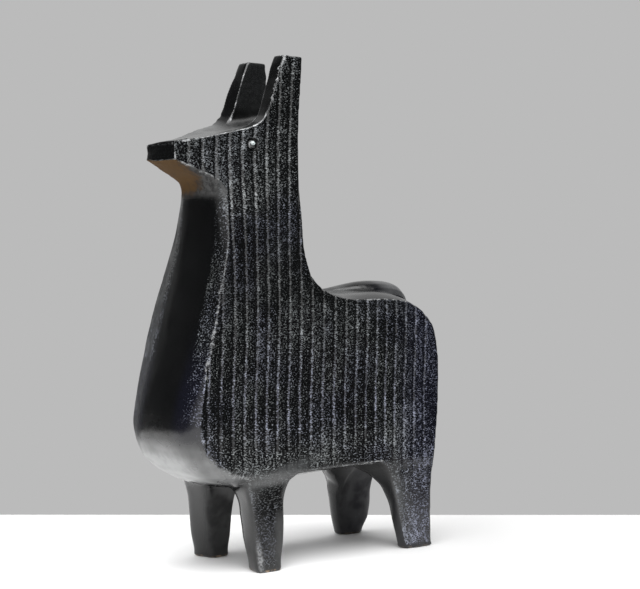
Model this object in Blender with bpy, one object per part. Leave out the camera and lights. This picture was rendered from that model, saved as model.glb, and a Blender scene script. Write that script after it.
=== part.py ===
"""Llama figure in black glazed stoneware, modelled as one solid piece.

Metres, +Z up. The llama looks along -Y and its left flank faces +X. The figure stands on
its four feet, with the origin on the ground under the middle of its bounding box.

The pose and the carving are shares of the figure's own height, as (along, up) pairs: along
runs from the nose towards the tail and is zero under the neck, up is measured from the ground.
What lies across the figure is a share of half the width of the body.
"""

import math

import bmesh
import bpy
from mathutils import Vector

HEIGHT = 0.280
WIDTH = 0.065
RIB_PITCH = 0.00763
GROOVE_WIDTH = 0.0025
GROOVE_DEPTH = 0.0010
EAR_GAP = 0.0246
SLOT_ROUNDING = 0.0035
EYE_DIAMETER = 0.0048
EYE_RELIEF = 0.0010
LEG_ROUNDING = 0.0034
HEEL_ROUNDING = 0.0060
LEG_ARRIS = 0.0010
FOOT_CHAMFER = 0.0010
# The legs stand this far past the flanks before the flanks are trimmed to their ribs.
TRIM_ALLOWANCE = 0.0003

# Side outline. Each point is along, up, how far the middle of the figure swells past its
# edge there (along and up), and how round that swell is: 0 is a shallow bow, 1 a round edge.
EAR_TIP = [(-0.150, 1.000, 0.0, 0.0, 0.0), (-0.108, 1.000, 0.0, 0.0, 0.0)]
NAPE_AND_BACK = [
    (-0.108, 1.000, 0.000, 0.000, 0.0),
    (-0.118, 0.870, 0.002, 0.000, 0.0),
    (-0.120, 0.700, 0.005, 0.000, 0.0),
    (-0.117, 0.606, 0.005, 0.000, 0.0),
    (-0.098, 0.560, 0.002, 0.001, 0.0),
    (-0.060, 0.534, 0.000, 0.004, 0.0),
    (0.000, 0.521, 0.000, 0.013, 0.0),
    (0.090, 0.520, 0.000, 0.018, 0.0),
    (0.152, 0.511, 0.003, 0.016, 0.0),
    (0.199, 0.478, 0.008, 0.009, 0.0),
    (0.2195, 0.430, 0.009, 0.004, 0.0),
    (0.225, 0.350, 0.008, 0.000, 0.0),
    (0.220, 0.260, 0.006, 0.000, 0.0),
    (0.213, 0.178, 0.003, 0.000, 0.0),
]
BELLY_AND_BREAST = [
    (0.213, 0.178, 0.000, 0.000, 0.5),
    (0.120, 0.190, 0.000, -0.008, 0.5),
    (0.000, 0.191, 0.000, -0.014, 0.5),
    (-0.130, 0.189, 0.000, -0.020, 0.5),
    (-0.240, 0.186, -0.012, -0.030, 1.0),
    (-0.304, 0.206, -0.030, -0.026, 1.0),
    (-0.344, 0.234, -0.036, -0.018, 1.0),
    (-0.366, 0.275, -0.033, -0.006, 1.0),
    (-0.370, 0.315, -0.024, 0.000, 1.0),
    (-0.354, 0.412, -0.014, 0.000, 0.4),
    (-0.326, 0.527, -0.014, 0.000, 0.1),
    (-0.298, 0.622, -0.018, 0.000, 0.4),
    (-0.278, 0.700, -0.030, 0.000, 0.8),
]
JAW = [
    (-0.278, 0.700, -0.030, 0.000, 0.8),
    (-0.275, 0.732, -0.034, 0.006, 0.9),
    (-0.292, 0.749, -0.024, 0.006, 0.8),
    (-0.335, 0.769, -0.008, 0.000, 0.4),
    (-0.386, 0.789, -0.002, 0.000, 0.0),
]
MUZZLE = [(-0.386, 0.789, -0.002, 0.0, 0.0), (-0.386, 0.821, -0.002, 0.0, 0.0)]
BROW_AND_EARS = [
    (-0.386, 0.821, -0.002, 0.0, 0.0),
    (-0.325, 0.835, 0.0, 0.0, 0.0),
    (-0.250, 0.852, 0.0, 0.0, 0.0),
    (-0.216, 0.862, 0.0, 0.0, 0.0),
    (-0.193, 0.882, 0.0, 0.0, 0.0),
    (-0.180, 0.918, 0.0, 0.0, 0.0),
    (-0.165, 0.964, 0.0, 0.0, 0.0),
    (-0.150, 1.000, 0.0, 0.0, 0.0),
]
OUTLINE = [EAR_TIP, NAPE_AND_BACK, BELLY_AND_BREAST, JAW, MUZZLE, BROW_AND_EARS]
OUTLINE_STEP = 0.020

# Where the outline is repeated on its way across, and the shape of the swell between.
HALF_STATIONS = [0.0, 0.30, 0.60, 0.80, 0.92, 0.98, 1.01]
BEYOND_FLANK = 1.15
BOW_POWER = 3.0
ROUND_POWER = 4.0

# The flanks draw in a little at the feet and a lot up the neck.
FOOT_TAPER = 0.03
FOOT_TAPER_TOP = 0.20
NECK_TAPER = 0.30
NECK_FROM = 0.40
NECK_TO = 0.88
# The head is a wedge that narrows from the cheeks to the nose and opens down into the throat.
NOSE_AT = -0.386
NOSE_HALF = 0.405
CHEEK_FLARE = 1.32
THROAT_LEVEL = 0.780
THROAT_FLARE = 2.16
WEDGE_BLEND = 0.08
THROAT_BLEND = 0.05

# Ribs: where the first and the last groove may lie. They were set out by hand, so that the
# spacing wanders by a share of the pitch. They lean back up the neck and again at the cheek.
FIRST_GROOVE = -0.3876
LAST_GROOVE = 0.205
COMB_FROM = -0.42
COMB_TO = 0.25
WANDER = 0.10
WANDER_PERIOD = 11
WANDER_PEAK = 14
GROOVE_LEAN = 0.053
LEAN_FROM = 0.340
CHEEK_SHIFT = 0.0039
CHEEK_FROM = 0.64
CHEEK_TO = 0.76
# They run out over the fore legs and go on, shallower, down the hind legs.
FADE_FROM = 0.250
FADE_TO = 0.175
HIND_LEG_FROM = 0.080
HIND_LEG_RIB = 0.45
FLANK_LEVELS = [-0.02, 0.165, 0.205, 0.25, 0.34, 0.40, 0.45, 0.50, 0.55, 0.60, 0.64, 0.68,
                0.72, 0.76, 0.80, 0.84, 0.88, 0.94, 1.02]

# Level, inner edge, front at the inner and outer edge, back at the inner and outer edge.
FORE_LEG = [
    (0.000, 0.517, -0.228, -0.238, -0.180, -0.176),
    (0.040, 0.509, -0.234, -0.246, -0.179, -0.176),
    (0.090, 0.483, -0.239, -0.253, -0.176, -0.175),
    (0.125, 0.440, -0.245, -0.258, -0.172, -0.173),
    (0.150, 0.371, -0.254, -0.264, -0.165, -0.169),
    (0.170, 0.259, -0.268, -0.272, -0.150, -0.160),
    (0.186, 0.086, -0.280, -0.276, -0.120, -0.134),
    (0.215, 0.086, -0.280, -0.276, -0.120, -0.134),
]
HIND_LEG = [
    (0.000, 0.690, 0.144, 0.143, 0.190, 0.209),
    (0.040, 0.672, 0.133, 0.131, 0.200, 0.208),
    (0.090, 0.629, 0.119, 0.116, 0.205, 0.208),
    (0.130, 0.552, 0.101, 0.107, 0.208, 0.210),
    (0.155, 0.431, 0.078, 0.101, 0.209, 0.211),
    (0.174, 0.259, 0.045, 0.090, 0.209, 0.2125),
    (0.190, 0.069, 0.005, 0.066, 0.207, 0.209),
    (0.215, 0.069, 0.005, 0.066, 0.200, 0.200),
]
LEG_CORNER_POINTS = 4
CORNER_LIMIT = 0.48

# Along, half width and crest of the ridge that runs down the back and ends in the tail.
TAIL = [
    (-0.062, 0.052, 0.536),
    (0.000, 0.138, 0.541),
    (0.050, 0.224, 0.549),
    (0.100, 0.319, 0.556),
    (0.145, 0.362, 0.557),
    (0.182, 0.353, 0.553),
    (0.203, 0.319, 0.542),
    (0.218, 0.250, 0.520),
    (0.228, 0.138, 0.490),
]
TAIL_DEPTH = 0.060
TAIL_SIDES = 14

# The floor of the channel between the ears, from the brow to the nape.
SLOT_FLOOR = [(-0.226, 0.8610), (-0.090, 0.8930)]
SLOT_TOP = 1.060
SLOT_CORNER_STEPS = 3

EYE_AT = (-0.223, 0.824)
EYE_SEGMENTS = 16
EYE_RINGS = 8

GLAZE_COLOUR = (0.018, 0.018, 0.021, 1.0)
GLAZE_ROUGHNESS = 0.32


def share(value):
    """A share of the figure's height, in metres."""
    return value * HEIGHT


def half_body(value=1.0):
    """A share of half the width of the body, in metres."""
    return value * WIDTH / 2


def soft_min(first, second, blend):
    """The lesser of two values, with the crossing rounded over a stretch of blend."""
    nearness = max(0.0, blend - abs(first - second)) / blend
    return min(first, second) - nearness * nearness * blend / 4


def ease(part):
    """Smooth rise from 0 to 1."""
    part = min(1.0, max(0.0, part))
    return part * part * (3 - 2 * part)


def smooth_stretch(points):
    """Points about a step apart on a smooth curve through the given ones, less the last."""
    before = [2 * a - b for a, b in zip(points[0], points[1])]
    after = [2 * a - b for a, b in zip(points[-1], points[-2])]
    padded = [before] + [list(point) for point in points] + [after]
    samples = []
    for p0, p1, p2, p3 in zip(padded, padded[1:], padded[2:], padded[3:]):
        run = math.dist(p1[:2], p2[:2])
        steps = max(1, round(run / OUTLINE_STEP))
        for step in range(steps):
            t = step / steps
            samples.append([
                0.5 * (2 * b + (c - a) * t + (2 * a - 5 * b + 4 * c - d) * t * t
                       + (3 * b - a - 3 * c + d) * t ** 3)
                for a, b, c, d in zip(p0, p1, p2, p3)
            ])
    return samples


def loft(name, rings):
    """Closed solid through rings that all have the same number of points."""
    mesh = bmesh.new()
    rows = [[mesh.verts.new(point) for point in ring] for ring in rings]
    for row, following in zip(rows, rows[1:]):
        for index in range(len(row)):
            ahead = (index + 1) % len(row)
            mesh.faces.new((row[index], row[ahead], following[ahead], following[index]))
    mesh.faces.new(list(reversed(rows[0])))
    mesh.faces.new(rows[-1])
    bmesh.ops.recalc_face_normals(mesh, faces=mesh.faces[:])
    data = bpy.data.meshes.new(name)
    mesh.to_mesh(data)
    mesh.free()
    return bpy.data.objects.new(name, data)


def flank_share(up):
    """Half width of the flank at a level, as a share of the body's."""
    feet = FOOT_TAPER * max(0.0, 1.0 - up / FOOT_TAPER_TOP)
    neck = NECK_TAPER * ease((up - NECK_FROM) / (NECK_TO - NECK_FROM))
    return 1.0 - feet - neck


def half_width(along, up):
    """Distance from the middle plane to the flank, before the grooves are cut."""
    opening = -soft_min(0.0, up - THROAT_LEVEL, THROAT_BLEND) * THROAT_FLARE
    wedge = NOSE_HALF + (along - NOSE_AT) * CHEEK_FLARE + opening
    return half_body(soft_min(flank_share(up), wedge, WEDGE_BLEND))


def swell(station, roundness):
    """Share of the swell at a station: 1 in the middle plane, 0 at the flank."""
    reach = min(1.0, abs(station))
    bow = 1.0 - reach ** BOW_POWER
    full = math.sqrt(1.0 - reach ** ROUND_POWER)
    return bow + (full - bow) * roundness


def make_core():
    """The side outline carried across the figure, fuller in the middle than at the flanks."""
    samples = [sample for stretch in OUTLINE for sample in smooth_stretch(stretch)]
    edge = [(share(sample[0]), share(sample[1])) for sample in samples]
    rings = [[Vector((-half_body(BEYOND_FLANK), y, z)) for y, z in edge]]
    for station in [-part for part in reversed(HALF_STATIONS[1:])] + HALF_STATIONS:
        ring = []
        for along, up, swell_along, swell_up, roundness in samples:
            full = swell(station, roundness)
            ring.append(Vector((
                station * half_width(along, up),
                share(along + full * swell_along),
                share(up + full * swell_up),
            )))
        rings.append(ring)
    rings.append([Vector((half_body(BEYOND_FLANK), y, z)) for y, z in edge])
    return loft("llama_figure", rings)


def groove_strength(along, up):
    """Grooves run out over the fore legs and stay shallow on the hind legs."""
    part = min(1.0, max(0.0, (up - FADE_TO) / (FADE_FROM - FADE_TO)))
    least = HIND_LEG_RIB if along > HIND_LEG_FROM else 0.0
    return least + (1.0 - least) * part


def comb_columns():
    """Places along the flank and how deep the comb is cut at each, from nose to tail."""
    pitch = RIB_PITCH / HEIGHT
    reach = GROOVE_WIDTH / HEIGHT / 2
    grooves = 1 + int((LAST_GROOVE - FIRST_GROOVE) / pitch)
    columns = [(COMB_FROM, 0.0)]
    for index in range(grooves):
        wander = WANDER * math.cos(math.tau * (index - WANDER_PEAK) / WANDER_PERIOD)
        middle = FIRST_GROOVE + (index + wander) * pitch
        columns += [(middle - reach, 0.0), (middle, 1.0), (middle + reach, 0.0)]
    columns.append((COMB_TO, 0.0))
    return columns


def groove_lean(up):
    """How far back the ribs have leant at a level."""
    neck = max(0.0, up - LEAN_FROM) * GROOVE_LEAN
    return neck + CHEEK_SHIFT * ease((up - CHEEK_FROM) / (CHEEK_TO - CHEEK_FROM))


def make_flanks():
    """Both ribbed flanks as one slab, which trims the core to its width."""
    columns = comb_columns()
    rings = []
    for level in FLANK_LEVELS:
        lean = groove_lean(level)
        side = []
        for along, cut in columns:
            depth = GROOVE_DEPTH * cut * groove_strength(along, level)
            side.append((half_width(along + lean, level) - depth, share(along + lean)))
        left = [Vector((x, y, share(level))) for x, y in side]
        right = [Vector((-x, y, share(level))) for x, y in reversed(side)]
        rings.append(left + right)
    return loft("flanks", rings)


def rounded_section(corners, radii, level):
    """A four-sided section with round corners, as a ring of points at one level."""
    ring = []
    for index, corner in enumerate(corners):
        here = Vector(corner)
        back = Vector(corners[index - 1]) - here
        ahead = Vector(corners[(index + 1) % len(corners)]) - here
        cut = min(radii[index], back.length * CORNER_LIMIT, ahead.length * CORNER_LIMIT)
        start = here + back.normalized() * cut
        end = here + ahead.normalized() * cut
        for step in range(LEG_CORNER_POINTS):
            t = step / (LEG_CORNER_POINTS - 1)
            point = start * (1 - t) ** 2 + here * 2 * t * (1 - t) + end * t * t
            ring.append(Vector((point.x, point.y, level)))
    return ring


def leg_ring(edges, heel, level, inset, side):
    """One section of a leg at a level in metres, drawn in by the inset on all sides."""
    inner, front_inner, front_outer, back_inner, back_outer = edges
    inside = half_body(inner) + inset
    outside = half_body(flank_share(level / HEIGHT)) + TRIM_ALLOWANCE - inset
    corners = [
        (side * inside, share(front_inner) + inset),
        (side * outside, share(front_outer) + inset),
        (side * outside, share(back_outer) - inset),
        (side * inside, share(back_inner) - inset),
    ]
    radii = [LEG_ROUNDING, LEG_ROUNDING, heel, LEG_ROUNDING]
    return rounded_section(corners, radii, level)


def make_leg(name, levels, heel, side):
    """A leg from its chamfered sole up into the body, with its outer back corner as round
    as the heel says."""
    sole = levels[0][1:]
    rings = [
        leg_ring(sole, heel, 0.0, FOOT_CHAMFER, side),
        leg_ring(sole, heel, FOOT_CHAMFER, 0.0, side),
    ]
    for up, *edges in levels[1:]:
        rings.append(leg_ring(edges, heel, share(up), 0.0, side))
    return loft(name, rings)


def make_tail():
    """The ridge on the back, as a row of oval sections whose tops follow the crest."""
    rings = []
    for along, half, crest in smooth_stretch(TAIL):
        middle = crest - TAIL_DEPTH / 2
        ring = []
        for step in range(TAIL_SIDES):
            angle = math.tau * step / TAIL_SIDES
            across = half_body(half) * math.cos(angle)
            up = share(middle + TAIL_DEPTH / 2 * math.sin(angle))
            ring.append(Vector((across, share(along), up)))
        rings.append(ring)
    return loft("tail_ridge", rings)


def make_ear_slot():
    """Channel between the ears, with round lower corners and a floor that follows the brow."""
    half = EAR_GAP / 2
    centre = half - SLOT_ROUNDING
    rings = []
    for along, floor in SLOT_FLOOR:
        y = share(along)
        ring = [Vector((-half, y, share(SLOT_TOP)))]
        for sign, start in ((-1, math.pi), (1, 1.5 * math.pi)):
            for step in range(SLOT_CORNER_STEPS + 1):
                angle = start + math.pi / 2 * step / SLOT_CORNER_STEPS
                x = sign * centre + SLOT_ROUNDING * math.cos(angle)
                z = share(floor) + SLOT_ROUNDING * (1 + math.sin(angle))
                ring.append(Vector((x, y, z)))
        ring.append(Vector((half, y, share(SLOT_TOP))))
        rings.append(ring)
    return loft("ear_slot", rings)


def make_eye(name, side):
    """A bead set in the cheek, flattened so that it stands out by the eye's relief."""
    along, up = EYE_AT
    bpy.ops.mesh.primitive_uv_sphere_add(
        segments=EYE_SEGMENTS, ring_count=EYE_RINGS, radius=EYE_DIAMETER / 2)
    eye = bpy.context.object
    eye.name = name
    for vertex in eye.data.vertices:
        vertex.co.x *= EYE_RELIEF / (EYE_DIAMETER / 2)
    eye.location = (side * half_width(along, up), share(along), share(up))
    return eye


def make_glaze():
    glaze = bpy.data.materials.new("black_glaze")
    glaze.use_nodes = True
    shader = glaze.node_tree.nodes["Principled BSDF"]
    shader.inputs["Base Color"].default_value = GLAZE_COLOUR
    shader.inputs["Roughness"].default_value = GLAZE_ROUGHNESS
    shader.inputs["Metallic"].default_value = 0.0
    return glaze


def move_to(collection, item):
    for other in list(item.users_collection):
        other.objects.unlink(item)
    collection.objects.link(item)


def shape_with(figure, tool, operation, cutters):
    """Join, trim or cut the figure with a tool, which is kept as a hidden guide."""
    move_to(cutters, tool)
    tool.hide_render = True
    tool.display_type = "WIRE"
    step = figure.modifiers.new(tool.name, "BOOLEAN")
    step.operation = operation
    step.solver = "EXACT"
    step.object = tool


def stand_on_origin(figure, parts):
    """Bring the middle of the bounding box over the origin, with all parts under one empty."""
    bpy.context.view_layer.update()
    finished = figure.evaluated_get(bpy.context.evaluated_depsgraph_get())
    corners = [Vector(corner) for corner in finished.bound_box]
    low = Vector([min(corner[axis] for corner in corners) for axis in range(3)])
    high = Vector([max(corner[axis] for corner in corners) for axis in range(3)])
    stand = bpy.data.objects.new("stand", None)
    bpy.context.scene.collection.objects.link(stand)
    for part in parts:
        part.parent = stand
    stand.location = (-(low.x + high.x) / 2, -(low.y + high.y) / 2, -low.z)


def main():
    for item in list(bpy.data.objects):
        bpy.data.objects.remove(item, do_unlink=True)
    figures = bpy.data.collections.new("llama_sculpture")
    cutters = bpy.data.collections.new("shaping")
    bpy.context.scene.collection.children.link(figures)
    bpy.context.scene.collection.children.link(cutters)

    figure = make_core()
    move_to(figures, figure)
    figure.data.materials.append(make_glaze())

    joined = [
        make_leg("left_fore_leg", FORE_LEG, HEEL_ROUNDING, 1),
        make_leg("right_fore_leg", FORE_LEG, HEEL_ROUNDING, -1),
        make_leg("left_hind_leg", HIND_LEG, LEG_ARRIS, 1),
        make_leg("right_hind_leg", HIND_LEG, LEG_ARRIS, -1),
        make_tail(),
    ]
    for tool in joined:
        shape_with(figure, tool, "UNION", cutters)
    flanks = make_flanks()
    shape_with(figure, flanks, "INTERSECT", cutters)
    slot = make_ear_slot()
    shape_with(figure, slot, "DIFFERENCE", cutters)
    eyes = [make_eye("left_eye", 1), make_eye("right_eye", -1)]
    for eye in eyes:
        shape_with(figure, eye, "UNION", cutters)

    stand_on_origin(figure, [figure] + joined + [flanks, slot] + eyes)


main()
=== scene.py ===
# %% [markdown]
# # A llama in black glazed stoneware
#
# The real figure is one piece of fired clay, 280 mm tall. Its flanks were fluted with a hand
# tool, and a black glaze was poured over it that broke into fine pale specks wherever it lay
# thin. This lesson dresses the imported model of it: the model gives the form and the size, and
# the cells below give it soft clay edges, an uneven surface and its glaze.

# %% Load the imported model
import math

import bmesh
import bpy
import numpy as np
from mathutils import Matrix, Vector
from mathutils.kdtree import KDTree


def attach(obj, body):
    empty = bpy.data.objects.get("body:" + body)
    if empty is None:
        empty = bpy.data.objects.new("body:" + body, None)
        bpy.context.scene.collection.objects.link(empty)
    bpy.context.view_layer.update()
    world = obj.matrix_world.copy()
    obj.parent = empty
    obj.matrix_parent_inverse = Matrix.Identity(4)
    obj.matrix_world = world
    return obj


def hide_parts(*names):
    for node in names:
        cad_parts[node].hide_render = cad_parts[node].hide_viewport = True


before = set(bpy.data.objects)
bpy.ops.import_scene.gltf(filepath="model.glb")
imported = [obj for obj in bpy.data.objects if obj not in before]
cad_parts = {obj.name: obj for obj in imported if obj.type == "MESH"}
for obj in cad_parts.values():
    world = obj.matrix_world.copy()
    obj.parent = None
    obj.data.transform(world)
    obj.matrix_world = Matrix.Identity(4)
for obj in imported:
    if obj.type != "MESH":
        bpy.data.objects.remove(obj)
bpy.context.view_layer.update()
MM = 0.001

# %% [markdown]
# ## The camera
#
# The figure is seen from between its front and its left side, from just above its back, with a
# long lens. A long lens keeps the flutes nearly parallel, as a photographer of ceramics would
# want. The camera's place was worked out from the figure's own straight edges.

# %% Set the camera
CAMERA_PLACE = (0.6683, -0.5084, 0.1736)
CAMERA_TURN = math.radians(51.5)
CAMERA_DOWN = math.radians(1.71)
LENS_MM = 83.14
SENSOR_MM = 36.0
bpy.ops.object.camera_add(
    location=CAMERA_PLACE, rotation=(math.pi / 2 - CAMERA_DOWN, 0.0, CAMERA_TURN))
camera = bpy.context.object
camera.name = "camera"
camera.data.lens = LENS_MM
camera.data.sensor_width = SENSOR_MM
bpy.context.scene.camera = camera
print("camera", round(Vector(CAMERA_PLACE).length, 3), "m from the origin")

# %% [markdown]
# ## Small helpers for modelling
#
# Blender's operators act on whatever is selected, and loading the model leaves it selected.
# So one helper selects a single piece, and another adds a modifier and applies it at once,
# which is what a modeller does by hand in the modifier list.


# %% Helpers that select a piece and apply a modifier
def only(piece):
    """Select this piece and nothing else."""
    bpy.ops.object.select_all(action="DESELECT")
    piece.select_set(True)
    bpy.context.view_layer.objects.active = piece


def shape(piece, kind, **settings):
    """Add a modifier, set it and apply it."""
    only(piece)
    step = piece.modifiers.new(kind.lower(), kind)
    for name, value in settings.items():
        setattr(step, name, value)
    bpy.ops.object.modifier_apply(modifier=step.name)


# %% [markdown]
# The points of a mesh are read and moved all at once, as arrays. Two soft steps then say where
# something happens: one rises along a direction, and the other holds a band.


# %% Helpers that work on all the points at once
def places_of(mesh):
    """Places of all the vertices, as rows of three."""
    flat = np.empty(len(mesh.vertices) * 3, np.float32)
    mesh.vertices.foreach_get("co", flat)
    return flat.reshape(-1, 3)


def normals_of(mesh):
    """Normals of all the vertices, as rows of three."""
    flat = np.empty(len(mesh.vertices) * 3, np.float32)
    mesh.vertex_normals.foreach_get("vector", flat)
    return flat.reshape(-1, 3)


def move_to(mesh, places):
    """Move all the vertices to these places."""
    mesh.vertices.foreach_set("co", places.ravel())
    mesh.update()


def ease(value, low, high):
    """Smooth rise from 0 at low to 1 at high, for arrays too."""
    part = np.clip((np.asarray(value) - low) / (high - low), 0.0, 1.0)
    return part * part * (3 - 2 * part)


def between(values, low, high, edge):
    """1 between low and high, falling softly to 0 over the edge on both sides."""
    return ease(values, low - edge, low) * (1 - ease(values, high, high + edge))


# %% [markdown]
# ## A copy to work on
#
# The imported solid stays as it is, so the looks go on a copy. Its mesh is loose triangles, and
# they are merged first, so that neighbouring faces share their corners again.

# %% Copy the solid and merge it
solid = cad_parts["llama_figure"]
llama = bpy.data.objects.new("glazed_llama", solid.data.copy())
bpy.context.scene.collection.objects.link(llama)
only(llama)
bpy.ops.object.mode_set(mode="EDIT")
bpy.ops.mesh.select_all(action="SELECT")
bpy.ops.mesh.remove_doubles(threshold=0.001 * MM)
bpy.ops.object.mode_set(mode="OBJECT")
print("merged copy:", len(llama.data.vertices), "vertices")

# %% [markdown]
# ## Where the arrises are
#
# An arris is a sharp outer edge, such as the brow, the jaw or the rim of an ear. Later steps
# need to know how far each point of the surface is from one: clay is softened least there, and
# the glaze wears thin along it. The arrises are read from the merged solid: they are the
# edges where two faces turn away from each other by more than the side of a flute does.

# %% Read the arrises from the solid
ARRIS_ANGLE = math.radians(42)
FLANK_FACING = 0.6
ARRIS_STEP = 0.5 * MM


def faces_out(face):
    """True on the outer side of the flanks, the flutes among them."""
    side = 1 if face.calc_center_median().x > 0 else -1
    return face.normal.x * side > FLANK_FACING


def arris_points(mesh):
    """Points every half millimetre along each sharp outer edge."""
    work = bmesh.new()
    work.from_mesh(mesh)
    points = []
    for edge in work.edges:
        if len(edge.link_faces) != 2:
            continue
        one, other = edge.link_faces
        if one.normal.angle(other.normal, 0.0) < ARRIS_ANGLE:
            continue
        if faces_out(one) and faces_out(other):
            continue
        if (other.calc_center_median() - one.calc_center_median()).dot(one.normal) > 0:
            continue
        start, end = (corner.co for corner in edge.verts)
        steps = max(1, round((end - start).length / ARRIS_STEP))
        points += [start.lerp(end, step / steps) for step in range(steps + 1)]
    work.free()
    return points


arrises = arris_points(llama.data)
arris_tree = KDTree(len(arrises))
for index, point in enumerate(arrises):
    arris_tree.insert(point, index)
arris_tree.balance()
print("arrises:", len(arrises), "points")

# %% [markdown]
# ## From facets to clay
#
# The solid is made of flat facets, and clay has none. A voxel remesh gives the whole figure an
# even skin of squares, each about half a millimetre wide. Then a Smooth modifier melts the
# facets. It works at full strength on the plain parts, less on the legs, and not at all on the
# fluted flanks or beside an arris. A last light pass takes the knife edge off everything.

# %% Remesh the copy
VOXEL = 0.55 * MM
shape(llama, "REMESH", mode="VOXEL", voxel_size=VOXEL, adaptivity=0.0)
print("remeshed:", len(llama.data.polygons), "squares")


# %% Helpers that smooth one place of a piece
WEIGHT_STEPS = 16
SMOOTH_FACTOR = 0.5


def paint_group(piece, name, weights):
    """A vertex group with the weights in a few steps, which is quick to fill."""
    group = piece.vertex_groups.new(name=name)
    steps = np.round(weights * WEIGHT_STEPS).astype(int)
    for step in range(1, WEIGHT_STEPS + 1):
        chosen = np.flatnonzero(steps == step)
        group.add(chosen.tolist(), step / WEIGHT_STEPS, "REPLACE")


def rub(piece, name, weights, turns):
    """Smooth the piece where the weights say."""
    paint_group(piece, name, weights)
    shape(piece, "SMOOTH", factor=SMOOTH_FACTOR, iterations=turns, vertex_group=name)
    print(f"rubbed {name}: {int(np.count_nonzero(weights))} points")


# %% Melt the facets of the plain parts
MELT_TURNS = 80
LAST_TURNS = 2
CRISP_BESIDE_ARRIS = 0.8 * MM
MELTED_BEYOND = 4.5 * MM
LEG_TOP = 48 * MM
LEG_SHARE = 0.8
SOLE_EDGE = 0.3 * MM
FOOT_RIM = 5 * MM


def arris_distance(places):
    """Distance of each place to the nearest arris."""
    return np.array([arris_tree.find(place)[2] for place in places])


def outward(places, normals):
    """How much each point faces out sideways, from -1 to 1."""
    return normals[:, 0] * np.sign(places[:, 0])


def melt_weights(mesh):
    """1 where facets are melted fully, 0 where the form stays crisp."""
    places = places_of(mesh)
    body = ease(arris_distance(places), CRISP_BESIDE_ARRIS, MELTED_BEYOND)
    body *= 1 - ease(outward(places, normals_of(mesh)), 0.55, 0.70)
    leg = LEG_SHARE * ease(places[:, 2], SOLE_EDGE, FOOT_RIM)
    on_leg = 1 - ease(places[:, 2], LEG_TOP - 8 * MM, LEG_TOP)
    return body + (leg - body) * on_leg


rub(llama, "plain_parts", melt_weights(llama.data), MELT_TURNS)
shape(llama, "SMOOTH", factor=SMOOTH_FACTOR, iterations=LAST_TURNS)
print("melted the facets")

# %% [markdown]
# ## Rounder places
#
# A thumb has gone over some edges more than others: the tips of the ears, the lower edge of the
# breast, and the legs, which are nearly round where they leave the belly. Each of them is
# rubbed by itself, held to its place by a vertex group. The right ear's tip is rubbed more than
# the left one's. The outer sides of the hind legs are left out, because the flutes run down
# them to the feet.

# %% Round the ear tips, the breast's lower edge and the legs
TIP_TURNS = 50
BREAST_TURNS = 160
LEG_TURNS = 120
places = places_of(llama.data)
facing = outward(places, normals_of(llama.data))

tip = ease(places[:, 2], 272 * MM, 277 * MM) * (1 - 0.6 * ease(places[:, 0], -4 * MM, 4 * MM))
lower_breast = between(places[:, 2], 62 * MM, 92 * MM, 8 * MM) * ease(-places[:, 1], 50 * MM, 58 * MM)
lower_breast *= 1 - ease(facing, 0.75, 0.95)
inner_side = 1 - ease(np.abs(places[:, 0]), 22 * MM, 28 * MM)
leg_round = 1 - ease(places[:, 2], 40 * MM + 12 * MM * inner_side, 50 * MM + 16 * MM * inner_side)
leg_round *= ease(places[:, 2], 0.5 * MM, 4 * MM)
leg_round *= 1 - ease(places[:, 1], 55 * MM, 60 * MM) * ease(facing, 0.45, 0.70)
rub(llama, "ear_tips", tip, TIP_TURNS)
rub(llama, "lower_breast", lower_breast, BREAST_TURNS)
rub(llama, "legs", leg_round, LEG_TURNS)

# %% [markdown]
# ## The unevenness of the hand
#
# Nothing on a hand-built figure is quite flat. Two Displace modifiers push the surface in and
# out: one by a few tenths of a millimetre over the width of a thumb, and one by less over a
# few millimetres, where the glaze has pooled. The clouds textures they read are fixed, so
# every run gives the same llama.

# %% Push the surface in and out
SWELL_WIDTH = 26 * MM
SWELL_DEPTH = 0.7 * MM
POOL_WIDTH = 6 * MM
POOL_DEPTH = 0.08 * MM


def uneven(piece, name, size, depth):
    """Soft swells of this size and depth over the whole piece."""
    texture = bpy.data.textures.new(name, "CLOUDS")
    texture.noise_scale = size
    texture.noise_depth = 1
    shape(piece, "DISPLACE", texture=texture, texture_coords="LOCAL",
          strength=depth, mid_level=0.5)
    print(f"{name}: {depth / MM:.2f} mm deep")


uneven(llama, "thumb swells", SWELL_WIDTH, SWELL_DEPTH)
uneven(llama, "glaze pools", POOL_WIDTH, POOL_DEPTH)

# %% [markdown]
# ## Legs set by hand
#
# The maker pulled each leg out of the body and pressed its foot on the bench, so the legs
# stand splayed: their tops are drawn in under the flanks, and the soles stay in place. The left
# legs lean in a straight line up to the flank. On the right side, which is seen from within,
# the lean eases in and out, so that it leaves no crease below the belly. In the viewport this
# is a move with a soft falloff, and here it is a few lines of arithmetic on the points, which
# is exact and the same in every run.

# %% Splay the legs
LEFT_FORE_SPLAY = 3.8 * MM
RIGHT_FORE_SPLAY = 3.2 * MM
LEFT_HIND_SPLAY = 0.4 * MM
RIGHT_HIND_SPLAY = 2.8 * MM
SPLAY_FROM = 2 * MM
LEFT_SPLAY_FULL = 46 * MM
LEFT_SPLAY_END = 54 * MM
RIGHT_SPLAY_FULL = 38 * MM
RIGHT_SPLAY_FADE = 39 * MM
RIGHT_SPLAY_END = 53 * MM
SPLAY_TWIST = 0.8


def splay_shares(height):
    """How far in the left and the right legs lean at each height, as shares of their splay."""
    left = np.clip((height - SPLAY_FROM) / (LEFT_SPLAY_FULL - SPLAY_FROM), 0, 1)
    left = left * (1 - ease(height, LEFT_SPLAY_FULL, LEFT_SPLAY_END))
    right = ease(height, SPLAY_FROM, RIGHT_SPLAY_FULL)
    right = right * (1 - ease(height, RIGHT_SPLAY_FADE, RIGHT_SPLAY_END))
    return left, right


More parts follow.
